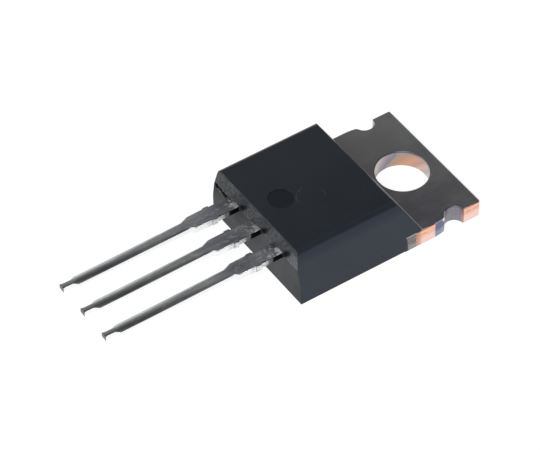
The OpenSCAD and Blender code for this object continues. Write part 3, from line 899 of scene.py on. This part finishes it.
def make_wire(tree, name, side, on_die, on_post, diameter, material):
    """One bond wire in its place, from shares of the die's and the post's width and length."""
    a = Vector((side * on_die[0] * DIE_W, DIE_NEAR_Y + on_die[1] * DIE_L, DIE_TOP))
    b = Vector((side * (POST_INNER + on_post[0] * POST_W), POST_Y + on_post[1] * POST_L, LEAD_TOP))
    span = math.hypot(b.x - a.x, b.y - a.y)
    rise = b.z - a.z
    chord = math.hypot(span, rise)
    radius = LOOP_K * chord
    sag = math.sqrt(radius ** 2 - chord ** 2 / 4)
    crown = (span / 2 + sag * rise / chord, (a.z + b.z) / 2 - sag * span / chord + radius)
    ahead = Vector((b.x - a.x, b.y - a.y, 0.0)) / span
    top = Vector((a.x, a.y, 0.0)) + ahead * crown[0] + Vector((0.0, 0.0, crown[1]))
    foot = [share * diameter for share in FOOT_SIZE]
    lift = Vector((0.0, 0.0, foot[2] / 2))
    holder = bpy.data.objects.new(name, bpy.data.meshes.new(name + "_seed"))
    bpy.context.scene.collection.objects.link(holder)
    nodes = holder.modifiers.new("wire", "NODES")
    nodes.node_group = tree
    values = {"On die": (a + lift) * MM, "Loop top": top * MM, "On post": (b + lift) * MM,
              "Foot size": Vector(foot) * MM, "Foot shift": FOOT_SHIFT * foot[0] * MM,
              "Heading": math.atan2(ahead.y, ahead.x), "Wire radius": diameter / 2 * MM,
              "Finish": material}
    for item in tree.interface.items_tree:
        if item.in_out == "INPUT":
            value = values[item.name]
            nodes[item.identifier] = tuple(value) if isinstance(value, Vector) else value
    mesh = plain_mesh(holder, name)
    mesh.materials.clear()
    mesh.materials.append(material)
    for polygon in mesh.polygons:
        polygon.use_smooth = True
        polygon.material_index = 0
    mesh.set_sharp_from_angle(angle=math.radians(WIRE_CREASE_DEG))
    return holder


def dress(node, material):
    """Gives a CAD node that stays a better finish."""
    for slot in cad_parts[node].material_slots:
        slot.material = material


def make_floor():
    """A plain pale floor: white where it is seen or mirrored, with the part's soft shadow."""
    f = Finish("floor_white")
    seen = f.node("ShaderNodeLightPath", {}, {}, "Is Camera Ray")
    seen = seen.larger(seen.twin("Is Glossy Ray")).larger(seen.twin("Is Transmission Ray"))
    matt = f.node("ShaderNodeBsdfDiffuse", {}, {"Color": (0.80, 0.80, 0.80)})
    faint = f.node("ShaderNodeBsdfDiffuse", {}, {"Color": (0.22, 0.22, 0.22)})
    glow = f.node("ShaderNodeEmission", {}, {"Color": (1.0, 1.0, 1.0), "Strength": 0.86})
    lit = f.node("ShaderNodeAddShader", {}, {0: faint, 1: glow})
    f.show(f.node("ShaderNodeMixShader", {}, {0: seen, 1: matt, 2: lit}))
    mesh = bpy.data.meshes.new("floor")
    corners = [(-FLOOR_HALF, -FLOOR_HALF, 0), (FLOOR_HALF, -FLOOR_HALF, 0),
               (FLOOR_HALF, FLOOR_HALF, 0), (-FLOOR_HALF, FLOOR_HALF, 0)]
    mesh.from_pydata(corners, [], [(0, 1, 2, 3)])
    mesh.materials.append(f.material)
    floor = bpy.data.objects.new("floor", mesh)
    floor.location.z = -FLOOR_DROP
    bpy.context.scene.collection.objects.link(floor)


def make_world():
    """Soft studio surroundings, white to the camera."""
    world = bpy.data.worlds.new("studio")
    bpy.context.scene.world = world
    world.use_nodes = True
    g = Graph(world.node_tree)
    way = g.node("ShaderNodeTexCoord", {}, {}, "Generated")

    def towards(direction):
        """How far the view points along a direction."""
        return g.node("ShaderNodeVectorMath", {"operation": "DOT_PRODUCT"},
                      {0: way, 1: direction}, "Value")

    def level(value, low, high, first, last):
        """Goes evenly from first to last as value goes from low to high."""
        return g.node("ShaderNodeMapRange", {}, {"Value": value, "From Min": low, "From Max": high,
                                                 "To Min": first, "To Max": last}, "Result")

    # dim overhead, dark to the part's right, pale low behind it
    height = g.node("ShaderNodeSeparateXYZ", {}, {0: way}, "Z")
    overhead = level(height, 0.0, 0.45, 0.60, 0.22)
    right = level(towards((0.60, 0.55, 0.58)), 0.35, 0.75, 1.0, 0.12)
    behind = level(towards((-0.90, 0.38, 0.22)), 0.86, 0.97, 0.0, 0.9)
    seen = g.node("ShaderNodeLightPath", {}, {}, "Is Camera Ray")
    strength = g.node("ShaderNodeMix", {}, {0: seen, 2: overhead * right + behind, 3: 1.0})
    back = g.node("ShaderNodeBackground", {}, {"Color": (1.0, 1.0, 1.0), "Strength": strength})
    g.node("ShaderNodeOutputWorld", {}, {"Surface": back})


def lamp(name, place, size, power):
    """A round soft lamp that points at the part."""
    data = bpy.data.lights.new(name, "AREA")
    data.shape = "DISK"
    data.size = size
    data.energy = power
    light = bpy.data.objects.new(name, data)
    light.location = place
    light.rotation_euler = (Vector(AIM) - Vector(place)).to_track_quat("-Z", "Y").to_euler()
    bpy.context.scene.collection.objects.link(light)


def make_camera():
    """The photograph's viewpoint, from a perspective fit of the outline's known sizes."""
    data = bpy.data.cameras.new("camera")
    data.sensor_width = SENSOR_MM
    data.lens = FOCAL_PX / PHOTO_W * SENSOR_MM
    data.clip_start = 0.01
    data.clip_end = 10.0
    camera = bpy.data.objects.new("camera", data)
    right = Vector((0.563920, 0.825826, -0.003805))
    down = Vector((0.596141, -0.410265, -0.690152))
    ahead = Vector((-0.57150, 0.38692, -0.72366))
    turn = Matrix((right, -down, -ahead)).transposed().to_4x4()
    camera.matrix_world = Matrix.Translation((0.12823866, -0.09760271, 0.16488279)) @ turn
    bpy.context.scene.collection.objects.link(camera)
    bpy.context.scene.camera = camera


body = make_body(moulding_finish())
settle(body, "mould_body")
tab_rounds = [(2, (0.0, 0.0), HOLE_R, -1)]
tab_rounds += [(2, (s * NOTCH_X, NOTCH_Y), NOTCH_R, -1) for s in (-1, 1)]
header = make_lead("drain_header", "stamped_header", header_finish(), 0.0, tab_rounds)
settle(header, "drain_header")
gate = make_lead("gate_lead", "stamped_gate_lead",
                 lead_finish("lead_tin_gate", -PITCH, 0.0, 0.45), -PITCH)
settle(gate, "gate_lead")
source = make_lead("source_lead", "stamped_source_lead",
                   lead_finish("lead_tin_source", PITCH, 20.0, 0.80), PITCH)
settle(source, "source_lead")

# each wire: its node, name, slot and side, its places as shares of die and post, and its diameter
aluminium = wire_finish()
swept = wire_tree()
for node, name, slot, side, on_die, on_post, diameter in (
        ("gate_wire", "bonded_gate_wire", "gate_bond", -1, (0.34, 0.12), (0.39, 0.53), 0.15),
        ("source_wire_1", "bonded_source_wire_1", "source_bond_1", 1, (0.04, 0.40), (0.17, 0.65),
         0.36),
        ("source_wire_2", "bonded_source_wire_2", "source_bond_2", 1, (0.30, 0.42), (0.47, 0.65),
         0.36)):
    settle(make_wire(swept, name, side, on_die, on_post, diameter, aluminium), node)
dress("silicon_die", die_finish())
dress("die_solder", solder_finish())

make_floor()
make_world()
lamp("key", (0.24, -0.22, 0.36), 0.26, 1.9)
lamp("fill", (-0.16, -0.30, 0.26), 0.30, 0.5)
make_camera()
bpy.context.scene.view_settings.view_transform = "Standard"
